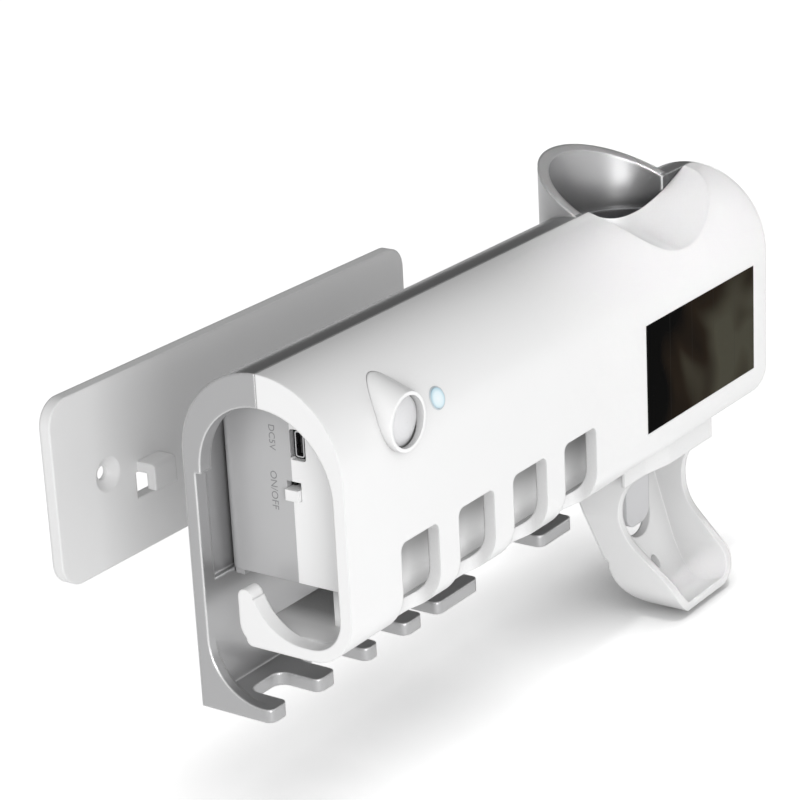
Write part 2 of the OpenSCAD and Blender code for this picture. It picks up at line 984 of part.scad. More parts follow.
module pump_body() {
    color("lightgray")
        at_house()
            difference() {
                union() {
                    translate([inlet_x, pump_y, pump_bot])
                        cylinder(r = pump_r, h = pump_h);
                    translate([inlet_x - stem_w / 2, pump_y, pump_bot + 4])
                        cube([stem_w, inner_r - pump_y, pump_h - 8]);
                }
                translate([inlet_x, pump_y, pump_bot - 1])
                    cylinder(r = pump_r - pump_wall, h = pump_h - pump_wall + 1);
                translate([inlet_x, seal_y, pump_top - pump_wall - 1])
                    cylinder(r = seal_bore + 0.7, h = pump_wall + 2);
            }
}

module pump_plunger() {
    color("white")
        at_house() {
            translate([inlet_x, pump_y, head_top - head_h])
                cylinder(r = pump_r - pump_wall - plunger_gap, h = head_h);
            translate([inlet_x, pump_y, foot_top - 1])
                cylinder(r = rod_r, h = head_top - head_h - foot_top + 2);
            translate([lever_x + 4, pump_y - 3, foot_bot])
                cube([lever_w - 8, 6, foot_t]);
        }
}

module plunger_spring() {
    color("gray")
        at_house()
            translate([inlet_x, pump_y, foot_top])
                difference() {
                    cylinder(r = rod_r + 3, h = spring_h);
                    translate([0, 0, -1])
                        cylinder(r = rod_r + 1.2, h = spring_h + 2);
                }
}

module outlet_nozzle() {
    color("gainsboro")
        at_house()
            difference() {
                ey(pump_y - pump_r - 0.5, nozzle_t)
                    difference() {
                        translate([inlet_x - nozzle_w / 2, pump_bot - nozzle_l])
                            square([nozzle_w, nozzle_l]);
                        bite(inlet_x - nozzle_w / 2, pump_bot - nozzle_l, 1, 1, nozzle_w / 3);
                        bite(inlet_x + nozzle_w / 2, pump_bot - nozzle_l, -1, 1, nozzle_w / 3);
                    }
                translate([inlet_x, pump_y - pump_r - 0.5 + nozzle_t / 2, pump_bot - nozzle_l - 1])
                    cylinder(r = nozzle_t / 2 - 1, h = nozzle_l + 2);
            }
}

module lever_bracket() {
    color("slategray")
        at_house()
            difference() {
                union() {
                    for (x = [lever_x - bracket_gap - bracket_t, lever_x + lever_w + bracket_gap])
                        ex(x, bracket_t) {
                            translate([-pivot_y, -pivot_z - 5])
                                square([pivot_y + inner_r, 10]);
                            translate([-pivot_y, -pivot_z])
                                circle(5);
                        }
                    translate([lever_x - bracket_gap - bracket_t, inner_r - 2, -pivot_z - 5])
                        cube([lever_w + 2 * bracket_gap + 2 * bracket_t, 2, 10]);
                }
                ex(0, house_l)
                    translate([-pivot_y, -pivot_z])
                        circle(pin_r);
            }
}

module lever_pin() {
    color("gray")
        at_house()
            ex(lever_x - bracket_gap - bracket_t - 1.5, lever_w + 2 * bracket_gap + 2 * bracket_t + 3)
                translate([-pivot_y, -pivot_z])
                    circle(pin_r);
}

// Side view of the lever, made smaller all round by cut
function back_dir() = [sin(lever_slope), cos(lever_slope)];
function back_out() = [cos(lever_slope), -sin(lever_slope)];
function back_at(r, z) = [
    bowl_y + r * back_out()[0] + (z - bowl_z + r * sin(lever_slope)) * tan(lever_slope),
    z
];

module bowl_side(r, top) {
    translate([bowl_y, bowl_z])
        circle(r);
    polygon([
        [bowl_y, bowl_z],
        [bowl_y + r * back_out()[0], bowl_z + r * back_out()[1]],
        back_at(r, top),
        [-pivot_y - barrel_r, top],
        [-pivot_y - barrel_r, bowl_z]
    ]);
}

// What the open front of the cup takes away: a dip above, a lip below, joined by their tangent
module front_waste() {
    reach = [lip_y - dip_y, lip_z - dip_z];
    span = norm(reach);
    turn = atan2(reach[1], reach[0]) + acos((dip_r + lip_r) / span);
    dir = [cos(turn), sin(turn)];
    translate([dip_y, dip_z])
        circle(dip_r);
    difference() {
        polygon([
            [dip_y, dip_z],
            [dip_y + dip_r * dir[0], dip_z + dip_r * dir[1]],
            [lip_y - lip_r * dir[0], lip_z - lip_r * dir[1]],
            [lip_y, lip_z],
            [lip_y, lip_z - lip_r + 1],
            [-big, lip_z - lip_r + 1],
            [-big, 0],
            [-pivot_y - barrel_r, 0],
            [-pivot_y - barrel_r, dip_z + 5],
            [dip_y, dip_z + 5]
        ]);
        translate([lip_y, lip_z])
            circle(lip_r);
    }
}

// Front view of the lever, made smaller all round by cut: it narrows toward the bottom,
// where each side runs into the round corner
module bowl_front(cut) {
    half = lever_w / 2 - cut;
    r = bowl_corner - cut;
    low = bowl_low + cut;
    reach = half - lever_taper - r / tan(45 + taper_dir / 2);
    side = reach + r * cos(taper_dir);
    turn_z = low + r * (1 - sin(taper_dir));
    ey(-big / 2, big) {
        polygon([
            [inlet_x - half, 0],
            [inlet_x - half, taper_z],
            [inlet_x - side, turn_z],
            [inlet_x - reach, low + r],
            [inlet_x - reach, low],
            [inlet_x + reach, low],
            [inlet_x + reach, low + r],
            [inlet_x + side, turn_z],
            [inlet_x + half, taper_z],
            [inlet_x + half, 0]
        ]);
        for (s = [-1, 1])
            translate([inlet_x + s * reach, low + r])
                circle(r);
    }
}

module squeeze_lever() {
    top = -pivot_z - 5;
    inner = bowl_r - lever_wall;
    color("white")
        at_house()
            difference() {
                union() {
                    difference() {
                        intersection() {
                            ex(lever_x, lever_w)
                                difference() {
                                    bowl_side(bowl_r, top);
                                    front_waste();
                                }
                            bowl_front(0);
                        }
                        intersection() {
                            ex(lever_x + lever_wall, lever_w - 2 * lever_wall) {
                                translate([bowl_y, bowl_z])
                                    circle(inner);
                                polygon([
                                    [bowl_y, bowl_z],
                                    [bowl_y + inner * back_out()[0], bowl_z + inner * back_out()[1]],
                                    back_at(inner, 0),
                                    [-big, 0],
                                    [-big, bowl_z]
                                ]);
                            }
                            bowl_front(lever_wall);
                        }
                        ey(-10, 40) {
                            translate([inlet_x - hole_w / 2, -107])
                                square([hole_w, 60]);
                            translate([inlet_x, -107])
                                circle(hole_w / 2);
                        }
                        boss([inlet_x + 1.5, -127], 2, bowl_y + 4, 5);
                        ex(lever_x - 1, 7)
                            translate([back_at(bowl_r, groove_z)[0] + 1.2, groove_z])
                                circle(2);
                    }
                    ex(lever_x, lever_w)
                        translate([-pivot_y, -pivot_z])
                            circle(barrel_r);
                    for (x = [lever_x, lever_x + lever_w - heel_w])
                        ex(x, heel_w)
                            translate([-pivot_y, heel_top - heel_h])
                                square([heel_len, heel_h]);
                    for (x = [lever_x, lever_x + lever_w - lever_wall])
                        ex(x, lever_wall)
                            translate([-pivot_y - barrel_r, top - 1])
                                square([heel_len + barrel_r, -pivot_z - top + 1]);
                }
                ex(0, house_l)
                    translate([-pivot_y, -pivot_z])
                        circle(pin_r + pin_clear);
            }
}

module case_screws() {
    color("darkslategray")
        at_house()
            for (at = concat(cover_screws, case_screws_at)) {
                boss(at, head_r, shell_r - head_sink + 0.05, shell_r - 0.1);
                boss(at, bore_r - 0.05, inner_r - 8, shell_r - head_sink + 0.1);
            }
}

module hook() {
    y_in = -plate_t;
    ex(-hook_w / 2, hook_w)
        difference() {
            translate([y_in - hook_out, -0.4 - hook_h])
                square([hook_out + eps, hook_h]);
            translate([y_in - hook_out + hook_t, -0.4 - hook_h - 1])
                square([hook_out, hook_h + 1 - hook_t]);
            bite(y_in - hook_out, -0.4, 1, -1, 1.5);
        }
}

module wall_plate() {
    color("whitesmoke")
        difference() {
            union() {
                ey(-plate_t, plate_t)
                    rrect(-plate_l / 2, -plate_h / 2, plate_l, plate_h, plate_r);
                for (s = [-1, 1])
                    translate([s * hook_half, 0, 0])
                        hook();
            }
            for (s = [-1, 1]) {
                translate([s * screw_span / 2, 1, 0])
                    rotate([90, 0, 0])
                        cylinder(r = screw_r, h = plate_t + 2);
                translate([s * screw_span / 2, -plate_t + 2.4, 0])
                    rotate([90, 0, 0])
                        cylinder(r1 = screw_r, r2 = sink_r, h = 2.4 + eps);
                translate([s * hook_half - hook_w / 2 - 1, -plate_t - eps, -0.4 - hook_t - hook_h])
                    cube([hook_w + 2, plate_t + 1, hook_h]);
            }
        }
}

wall_plate();
front_cover();
back_shell();
tube_socket();
tube_seal();
electronics_case();
case_lid();
brush_liner();
circuit_board();
battery_cell();
battery_cradle();
usb_shell();
usb_tongue();
switch_body();
switch_knob();
sensor_bezel();
sensor_lens();
sensor_can();
led_lens();
solar_glass();
solar_cells();
uv_board();
uv_leds();
pump_body();
pump_plunger();
plunger_spring();
outlet_nozzle();
lever_bracket();
lever_pin();
squeeze_lever();
case_screws();
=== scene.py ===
# %% [markdown]
# # A wall-hung toothpaste dispenser, dressed for a product picture
# The shapes come from the CAD model: white moulded cover, silver back shell, squeeze lever,
# brush slots, solar panel and the plate that screws to the wall. This lesson gives them their
# plastics, glass and metal, adds the small printed marks and the indicator's ring, and lights
# them like a catalogue picture on white.

import math

import bmesh
import bpy
from mathutils import Matrix, Vector


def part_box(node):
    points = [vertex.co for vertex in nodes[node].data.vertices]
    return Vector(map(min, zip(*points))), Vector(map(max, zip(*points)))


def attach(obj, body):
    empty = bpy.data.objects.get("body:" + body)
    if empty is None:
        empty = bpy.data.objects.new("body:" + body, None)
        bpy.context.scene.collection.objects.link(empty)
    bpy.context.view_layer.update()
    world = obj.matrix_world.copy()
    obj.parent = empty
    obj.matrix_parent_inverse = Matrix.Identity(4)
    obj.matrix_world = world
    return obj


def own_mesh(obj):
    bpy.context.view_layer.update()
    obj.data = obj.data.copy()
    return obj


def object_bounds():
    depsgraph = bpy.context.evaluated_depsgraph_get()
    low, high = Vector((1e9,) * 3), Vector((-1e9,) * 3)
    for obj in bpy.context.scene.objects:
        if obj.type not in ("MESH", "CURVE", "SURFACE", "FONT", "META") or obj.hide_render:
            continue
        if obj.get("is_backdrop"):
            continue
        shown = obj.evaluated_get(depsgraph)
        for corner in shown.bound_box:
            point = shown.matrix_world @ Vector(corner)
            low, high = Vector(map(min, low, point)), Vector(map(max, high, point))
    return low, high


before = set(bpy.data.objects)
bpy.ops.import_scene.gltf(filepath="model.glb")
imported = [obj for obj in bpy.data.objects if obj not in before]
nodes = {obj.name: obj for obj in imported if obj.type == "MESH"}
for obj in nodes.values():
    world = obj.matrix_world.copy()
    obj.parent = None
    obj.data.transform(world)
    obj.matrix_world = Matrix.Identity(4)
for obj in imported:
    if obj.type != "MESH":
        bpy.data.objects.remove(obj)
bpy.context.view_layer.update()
MM = 0.001


# %% [markdown]
# ## Where the housing is
# All measurements of this object were taken from its left end, its seam and its top. One small
# function turns such a triple into a point of the scene, so that marks and seams can be placed
# with the same numbers as the real parts. The origin could also be read from a mesh, but then
# a dent or a fillet would move every mark.

# %% Housing coordinates
cover_low, cover_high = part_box("front_cover")
left_end, top = cover_low[0], cover_high[2]
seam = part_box("back_shell")[0][1]


def at(x, y, z):
    """A point given in millimetres from the left end, the seam and the top of the housing."""
    return Vector((left_end + x * MM, seam + y * MM, top + z * MM))


def middle_of(name):
    """The middle of a CAD part's box."""
    return [(a + b) / 2 for a, b in zip(*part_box(name))]


print("left end, seam, top:", [round(v, 5) for v in at(0, 0, 0)])


# %% [markdown]
# ## Short words for nodes
# Every material below is a chain of small sums. Written out, each sum takes four lines, which
# hides what it is for. These helpers take a number or another node's socket, make one node and
# return its output, so that a chain reads like a formula.

# %% Node helpers
def feed(tree, value, socket):
    """Link a socket, or set a number or colour."""
    if isinstance(value, bpy.types.NodeSocket):
        tree.links.new(value, socket)
    else:
        socket.default_value = value


def maths(tree, operation, *values):
    node = tree.nodes.new("ShaderNodeMath")
    node.operation = operation
    for value, socket in zip(values, node.inputs):
        feed(tree, value, socket)
    return node.outputs[0]


def vector_maths(tree, operation, first, second, output="Vector"):
    node = tree.nodes.new("ShaderNodeVectorMath")
    node.operation = operation
    feed(tree, first, node.inputs[0])
    if second is not None:
        feed(tree, second, node.inputs[1])
    return node.outputs[output]


def remap(tree, value, source, target=(0.0, 1.0)):
    """Stretch the range source to the range target, clamped."""
    node = tree.nodes.new("ShaderNodeMapRange")
    names = ("From Min", "From Max", "To Min", "To Max")
    for name, number in zip(names, (*source, *target)):
        node.inputs[name].default_value = number
    tree.links.new(value, node.inputs["Value"])
    return node.outputs["Result"]


def mix(tree, factor, first, second, blend="MIX"):
    """Blend two colours."""
    node = tree.nodes.new("ShaderNodeMix")
    node.data_type = "RGBA"
    node.blend_type = blend
    for name, value in (("Factor", factor), ("A", first), ("B", second)):
        feed(tree, value, node.inputs[name])
    return node.outputs["Result"]


def noise(tree, vector, scale, detail=2.0, distortion=0.0):
    node = tree.nodes.new("ShaderNodeTexNoise")
    feed(tree, scale, node.inputs["Scale"])
    node.inputs["Detail"].default_value = detail
    node.inputs["Distortion"].default_value = distortion
    tree.links.new(vector, node.inputs["Vector"])
    return node.outputs["Fac"]


def ramp(tree, factor, stops):
    """A colour ramp from (position, colour) pairs in rising order."""
    node = tree.nodes.new("ShaderNodeValToRGB")
    points = node.color_ramp.elements
    for point, (position, colour) in ((points[0], stops[0]), (points[1], stops[-1])):
        point.position = position
        point.color = (*colour, 1)
    for position, colour in stops[1:-1]:
        points.new(position).color = (*colour, 1)
    tree.links.new(factor, node.inputs["Fac"])
    return node.outputs["Color"]


def object_place(tree):
    return tree.nodes.new("ShaderNodeTexCoord").outputs["Object"]


def split(tree, vector):
    node = tree.nodes.new("ShaderNodeSeparateXYZ")
    tree.links.new(vector, node.inputs["Vector"])
    return node.outputs


def grey(value):
    return (value, value, value, 1)


print("helpers ready")


# %% [markdown]
# ## One surface for all mouldings
# Injection-moulded plastic is never one flat colour. It is a touch cloudy, its gloss wanders, it
# carries a fine orange peel from the tool's polish, and it may gather specks of dust. Its edges,
# and the upward faces of the rim above the housing's top, get a painted highlight; its corners
# and hollows get painted shade; and where two shells meet there is a thin dark line. A picture
# texture could paint this, but noise and masks in object space need no unwrapping and stay at
# true scale on every part. The group gives out a colour, a roughness and a height. Each material
# feeds them to its own shader, which keeps its constants on its own sockets.

# %% Group: moulded surface
SEAM_LINE = (0.12 * MM, 0.30 * MM)  # half widths: fully dark, then faded out
SEAM_DEPTH = 32 * MM  # the line is drawn only this far below the top
# Painted corner shade is weak near the open left end, where light reaches in.
OPEN_END = (14 * MM, 22 * MM)  # light reaches the open left end, so corners stay pale there


def build_moulded_group():
    g = bpy.data.node_groups.new("Moulded surface", "ShaderNodeTree")
    for name, kind, value in (
        ("Plastic colour", "NodeSocketColor", (0.9, 0.9, 0.9, 1)),
        ("Cloud amount", "NodeSocketFloat", 0.04),
        ("Roughness", "NodeSocketFloat", 0.35),
        ("Roughness spread", "NodeSocketFloat", 0.08),
        ("Peel size", "NodeSocketFloat", 900.0),
        ("Dust amount", "NodeSocketFloat", 0.0),
        ("Seam shade", "NodeSocketFloat", 0.0),
        ("Edge width", "NodeSocketFloat", 0.0004),
        ("Painted edge highlight", "NodeSocketFloat", 0.0),
        ("Painted shade reach", "NodeSocketFloat", 0.008),
        ("Painted corner shade", "NodeSocketFloat", 0.0),
    ):
        socket = g.interface.new_socket(name=name, in_out="INPUT", socket_type=kind)
        socket.default_value = value
    for name, kind in (
        ("Colour", "NodeSocketColor"),
        ("Roughness", "NodeSocketFloat"),
        ("Peel height", "NodeSocketFloat"),
    ):
        g.interface.new_socket(name=name, in_out="OUTPUT", socket_type=kind)
    given = g.nodes.new("NodeGroupInput").outputs
    result = g.nodes.new("NodeGroupOutput").inputs
    place = object_place(g)
    x, y, z = split(g, place)

    # A cloudy base colour.
    swing = maths(g, "SUBTRACT", noise(g, place, 28.0, 4.0), 0.5)
    tone = g.nodes.new("ShaderNodeHueSaturation")
    feed(g, given["Plastic colour"], tone.inputs["Color"])
    lift = maths(g, "ADD", maths(g, "MULTIPLY", swing, given["Cloud amount"]), 1.0)
    feed(g, lift, tone.inputs["Value"])
    colour = tone.outputs["Color"]

    # Specks of dust.
    specks = remap(g, noise(g, place, 1400.0, 2.0), (0.66, 0.74))
    dust = maths(g, "MULTIPLY", specks, given["Dust amount"])
    colour = mix(g, dust, colour, (0.55, 0.54, 0.52, 1))

    # The dark line at the seam, on the round top only.
    off_seam = maths(g, "ABSOLUTE", maths(g, "SUBTRACT", y, seam))
    line = remap(g, off_seam, SEAM_LINE, (1.0, 0.0))
    high = maths(g, "GREATER_THAN", z, top - SEAM_DEPTH)
    line = maths(g, "MULTIPLY", maths(g, "MULTIPLY", line, high), given["Seam shade"])
    colour = mix(g, line, colour, grey(0.02))

    # Painted shade in corners and hollows, from ambient occlusion; weaker near the open left end.
    near = g.nodes.new("ShaderNodeAmbientOcclusion")
    near.samples = 4
    feed(g, given["Painted shade reach"], near.inputs["Distance"])
    painted_hollow_shade = maths(g, "SUBTRACT", 1.0, near.outputs["AO"])
    painted_hollow_shade = maths(g, "MULTIPLY", painted_hollow_shade, given["Painted corner shade"])
    inward = remap(g, x, [left_end + v for v in OPEN_END], (0.1, 1.0))
    colour = mix(g, maths(g, "MULTIPLY", painted_hollow_shade, inward), colour, grey(0.03))

    # Painted highlight on edges, and on the upward faces of the rim that stands above the
    # housing's top.
    rounded = g.nodes.new("ShaderNodeBevel")
    rounded.samples = 6
    feed(g, given["Edge width"], rounded.inputs["Radius"])
    facing = g.nodes.new("ShaderNodeNewGeometry").outputs["Normal"]
    same = vector_maths(g, "DOT_PRODUCT", rounded.outputs["Normal"], facing, "Value")
    edge = remap(g, same, (0.97, 0.80))
    above = maths(g, "GREATER_THAN", z, top + 0.4 * MM)
    upward = remap(g, split(g, facing)["Z"], (0.45, 0.65))
    painted_highlight = maths(g, "MAXIMUM", edge, maths(g, "MULTIPLY", above, upward))
    painted_highlight = maths(g, "MULTIPLY", painted_highlight, given["Painted edge highlight"])
    feed(g, mix(g, painted_highlight, colour, grey(0.97)), result["Colour"])

    # Wandering gloss and orange peel.
    wander = maths(g, "SUBTRACT", noise(g, place, 60.0, 5.0), 0.5)
    rough = maths(g, "MULTIPLY_ADD", wander, given["Roughness spread"], given["Roughness"])
    feed(g, rough, result["Roughness"])
    feed(g, noise(g, place, given["Peel size"], 3.0), result["Peel height"])
    return g


moulded_surface = build_moulded_group()
print("group sockets:", len(moulded_surface.interface.items_tree))


# %% [markdown]
# ## Plastics
# A moulding's edges are never sharp: the tool leaves a radius of a few tenths of a millimetre
# that catches the light. Modelling it on every edge is slow and fragile, so the Bevel node
# rounds the shading only. It feeds the Bump node, which adds the peel. Both stay in the
# material, next to the shader. Lengths are in millimetres.

# %% Function: a plastic
PLASTIC_IOR = 1.49
LEAST_EDGE = 0.1


def plastic(
    name, colour, rough, edge=0.4, peel=0.02, peel_size=900.0, cloud=0.03, coat=0.0, metal=0.0,
    dust=0.0, seam_shade=0.0, painted_edge_light=0.0, painted_corner_shade=0.0, reach=8.0,
):
    m = bpy.data.materials.new(name)
    m.use_nodes = True
    tree = m.node_tree
    shader = tree.nodes["Principled BSDF"]
    group = tree.nodes.new("ShaderNodeGroup")
    group.node_tree = moulded_surface
    for socket, value in (
        ("Plastic colour", (*colour, 1)),
        ("Cloud amount", cloud),
        ("Roughness", rough),
        ("Peel size", peel_size),
        ("Dust amount", dust),
        ("Seam shade", seam_shade),
        ("Edge width", max(edge, LEAST_EDGE) * MM),
        ("Painted edge highlight", painted_edge_light),
        ("Painted shade reach", reach * MM),
        ("Painted corner shade", painted_corner_shade),
    ):
        group.inputs[socket].default_value = value
    tree.links.new(group.outputs["Colour"], shader.inputs["Base Color"])
    tree.links.new(group.outputs["Roughness"], shader.inputs["Roughness"])
    bump = tree.nodes.new("ShaderNodeBump")
    bump.inputs["Strength"].default_value = 0.25
    bump.inputs["Distance"].default_value = peel * MM
    tree.links.new(group.outputs["Peel height"], bump.inputs["Height"])
    if edge:
        soften = tree.nodes.new("ShaderNodeBevel")
        soften.samples = 6
        soften.inputs["Radius"].default_value = edge * MM
        tree.links.new(soften.outputs["Normal"], bump.inputs["Normal"])
    tree.links.new(bump.outputs["Normal"], shader.inputs["Normal"])
    shader.inputs["Metallic"].default_value = metal
    shader.inputs["Coat Weight"].default_value = coat
    shader.inputs["Coat Roughness"].default_value = 0.12
    shader.inputs["IOR"].default_value = PLASTIC_IOR
    return m


def dress(material, *names):
    """Give CAD parts a material."""
    for name in names:
        mesh = nodes[name].data
        mesh.materials.clear()
        mesh.materials.append(material)


# %% [markdown]
# The mouldings are all near white in the photograph, and differ by a few steps of grey and by
# gloss. The cover is the whitest and has a thin clear shine; the lever and the plate are
# plainer. The back shell is silver paint, which is a metal under a thin lacquer.

# %% Plastics of the outside
# The corner and edge settings below paint shade into corners and hollows, and highlights onto
# edges.
cover_white = plastic(
    "cover_white", (0.85, 0.85, 0.85), 0.30,
    edge=0.8, coat=0.25, seam_shade=0.5, painted_corner_shade=0.75, reach=20,
)
plate_white = plastic("plate_white", (0.80, 0.80, 0.80), 0.38, edge=1.0, painted_edge_light=0.8)
lever_white = plastic(
    "lever_white", (0.76, 0.76, 0.76), 0.34,
    edge=1.0, coat=0.1, painted_edge_light=0.6, painted_corner_shade=0.3, reach=10,
)
bezel_white = plastic(
    "bezel_white", (0.90, 0.90, 0.90), 0.30, edge=0.5, coat=0.2, painted_corner_shade=0.8, reach=5
)
lid_white = plastic("lid_white", (0.92, 0.92, 0.92), 0.45, edge=0.3, painted_corner_shade=0.3)
knob_white = plastic("knob_white", (0.88, 0.88, 0.88), 0.40, edge=0.3)
shell_silver = plastic(
    "shell_silver", (0.49, 0.49, 0.495), 0.30,
    edge=1.2, metal=0.8, coat=0.2, cloud=0.02, peel_size=1500.0,
    seam_shade=0.75, painted_edge_light=1.0, painted_corner_shade=0.6, reach=14,
)
case_grey = plastic("case_grey", (0.53, 0.53, 0.535), 0.36, metal=0.3, painted_corner_shade=0.4)
liner_grey = plastic("liner_grey", (0.80, 0.80, 0.80), 0.42, coat=0.15, painted_corner_shade=0.45, reach=5)

dress(cover_white, "front_cover")
dress(plate_white, "wall_plate")
dress(lever_white, "squeeze_lever")
dress(bezel_white, "sensor_bezel")
dress(lid_white, "case_lid", "lever_bracket", "pump_plunger")
dress(knob_white, "switch_knob")
dress(shell_silver, "back_shell")
dress(case_grey, "electronics_case")
dress(liner_grey, "brush_liner")
print("outside plastics dressed")


# %% [markdown]
# Some parts sit deep inside, where only colour matters: black holders, a blue battery wrap, a
# green board. They get the same surface, so that a view through a slot shows real plastic.

# %% Plastics of the inside
for name, colour, rough, extra, parts in (
    ("socket_grey", (0.16, 0.16, 0.165), 0.34, {"metal": 0.3}, ["tube_socket"]),
    ("seal_rubber", (0.10, 0.10, 0.105), 0.6, {"cloud": 0.1}, ["tube_seal"]),
    ("nozzle_grey", (0.62, 0.62, 0.63), 0.40, {"edge": 0.8}, ["outlet_nozzle"]),
    ("pump_grey", (0.6, 0.6, 0.6), 0.45, {}, ["pump_body"]),
    ("hidden_black", (0.02, 0.02, 0.02), 0.5, {"dust": 0.1},
     ["battery_cradle", "usb_tongue", "switch_body"]),
    ("cell_wrap", (0.04, 0.14, 0.4), 0.3, {"coat": 0.3}, ["battery_cell"]),
    ("board_green", (0.02, 0.13, 0.06), 0.35, {"coat": 0.3}, ["circuit_board"]),
    ("board_white", (0.7, 0.7, 0.7), 0.4, {}, ["uv_board"]),
    ("lamp_clear", (0.75, 0.76, 0.85), 0.1, {"edge": 0, "coat": 0.8}, ["uv_leds"]),
):
    dress(plastic(name, colour, rough, **extra), *parts)
print("materials:", len(bpy.data.materials))


# %% [markdown]
# ## The brush bays
# Behind each slot the liner curves back like a shallow bowl. In the photograph it is dark under
# the slot's upper edge and pale two thirds of the way down. Little light from outside gets that
# far, so the liner's colour carries painted shade and light that follow the height, and it gets a
# weak painted glow of its own, though it is no lamp.

# %% Liner: painted shade and glow by height
def paint_light_by_height(material, stops, painted_glow):
    """Paint shade and light by height: multiply a plastic's colour by values at heights, in mm
    from the housing's top, and give the same values as a weak painted glow.
    """
    tree = material.node_tree
    low, high = stops[0][0], stops[-1][0]
    span = remap(tree, split(tree, object_place(tree))["Z"], (top + low * MM, top + high * MM))
    painted_light_tone = ramp(
        tree, span, [((height - low) / (high - low), grey(value)[:3]) for height, value in stops]
    )
    shader = tree.nodes["Principled BSDF"]
    group = next(node for node in tree.nodes if node.type == "GROUP")
    shaded = mix(tree, 1.0, group.outputs["Colour"], painted_light_tone, "MULTIPLY")
    tree.links.new(shaded, shader.inputs["Base Color"])
    # The same values glow weakly: painted light, since the liner is no lamp.
    tree.links.new(painted_light_tone, shader.inputs["Emission Color"])
    shader.inputs["Emission Strength"].default_value = painted_glow


liner_stops = ((-86, 0.40), (-80, 0.70), (-75, 1.0), (-66, 0.40), (-56, 0.08))
paint_light_by_height(liner_grey, liner_stops, 0.26)
print("liner shades:", len(liner_stops))


# %% [markdown]
# ## Metal
# The socket's shell, the pin, the screws and the sensor's can are drawn or turned steel. Their
# lines run round the part, so a stretched noise drives the roughness.

# %% Function: a drawn metal
def drawn_metal(name, colour, rough, along):
    m = bpy.data.materials.new(name)
    m.use_nodes = True
    tree = m.node_tree
    shader = tree.nodes["Principled BSDF"]
    stretch = tree.nodes.new("ShaderNodeMapping")
    stretch.inputs["Scale"].default_value = along
    tree.links.new(object_place(tree), stretch.inputs["Vector"])
    lines = noise(tree, stretch.outputs["Vector"], 1.0, 3.0)
    dull = remap(tree, lines, (0.0, 1.0), (rough - 0.08, rough + 0.12))
    tree.links.new(dull, shader.inputs["Roughness"])
    bump = tree.nodes.new("ShaderNodeBump")
    bump.inputs["Strength"].default_value = 0.2
    bump.inputs["Distance"].default_value = 0.01 * MM
    tree.links.new(lines, bump.inputs["Height"])
    tree.links.new(bump.outputs["Normal"], shader.inputs["Normal"])
    shader.inputs["Base Color"].default_value = (*colour, 1)
    shader.inputs["Metallic"].default_value = 1.0
    return m


bright_steel = drawn_metal("bright_steel", (0.62, 0.62, 0.63), 0.28, (60, 1500, 1500))
dark_steel = drawn_metal("dark_steel", (0.28, 0.28, 0.29), 0.35, (1500, 60, 1500))
dress(bright_steel, "usb_shell", "sensor_can", "lever_pin")
dress(dark_steel, "case_screws", "plunger_spring")
print("metals:", bright_steel.name, dark_steel.name)


# %% [markdown]
# ## Solar panel
# A small panel is black silicon under a dark cover glass. On the real one the cells are cut in
# strips with thin collector lines, hardly visible through the tinted glass. The glass could be a
# true transmissive sheet, but a coated dark surface renders faster, exports well and looks the
# same at this distance. A broad, low-contrast noise paints olive and brown patches on it, a
# painted reflection of a room. This painted reflection gets lighter toward the right, as in the
# photograph.

# %% Material: solar glass
STRIP_WIDTH = 7.1 * MM
LINE_WIDTH = 0.25 * MM
PAINTED_REFLECTION_SLOPE = 5.0  # how much lighter per metre toward the right


def solar_material():
    m = bpy.data.materials.new("solar_glass")
    m.use_nodes = True
    tree = m.node_tree
    shader = tree.nodes["Principled BSDF"]
    place = object_place(tree)
    x = split(tree, place)["X"]
    # Noise plus a rightward slope: the painted reflection, lighter toward the right.
    rightward = maths(
        tree, "MULTIPLY_ADD", x, PAINTED_REFLECTION_SLOPE, -PAINTED_REFLECTION_SLOPE * middle_of("solar_glass")[0]
    )
    painted_light_tone = maths(tree, "ADD", noise(tree, place, 22.0, 1.5, 0.8), rightward)
    glass = ramp(tree, painted_light_tone, (
        (0.40, (0.0008, 0.0008, 0.0007)),
        (0.56, (0.014, 0.009, 0.005)),
        (0.72, (0.055, 0.052, 0.037)),
    ))
    strips = maths(tree, "PINGPONG", x, STRIP_WIDTH)
    thin = remap(tree, strips, (0.0, LINE_WIDTH), (0.35, 0.0))
    tree.links.new(mix(tree, thin, glass, (0.03, 0.03, 0.028, 1)), shader.inputs["Base Color"])
    shader.inputs["Roughness"].default_value = 0.12
    shader.inputs["IOR"].default_value = 1.05
    return m


dress(solar_material(), "solar_glass", "solar_cells")
print("strip width in mm:", STRIP_WIDTH / MM)


# %% [markdown]
# ## Sensor lens and indicator
# The motion sensor looks through a milky shell with fine rings moulded inside. Light goes a
# little way into it, so it gets some subsurface. The indicator is a light guide with a pale
# blue core that darkens toward its edge. Both are round, so both need the distance from their
# middle, seen from the front.

# %% Materials: milky lens and light guide
RING_PITCH = 0.6 * MM
GUIDE_RADIUS = 3.3 * MM


def distance_from(tree, middle, weights):
    """Distance of a point from a middle, with a weight for each axis."""
    centre = tree.nodes.new("ShaderNodeMapping")
    centre.inputs["Location"].default_value = [-v for v in middle]
    tree.links.new(object_place(tree), centre.inputs["Vector"])
    flat = vector_maths(tree, "MULTIPLY", centre.outputs["Vector"], weights)
    return vector_maths(tree, "LENGTH", flat, None, "Value")


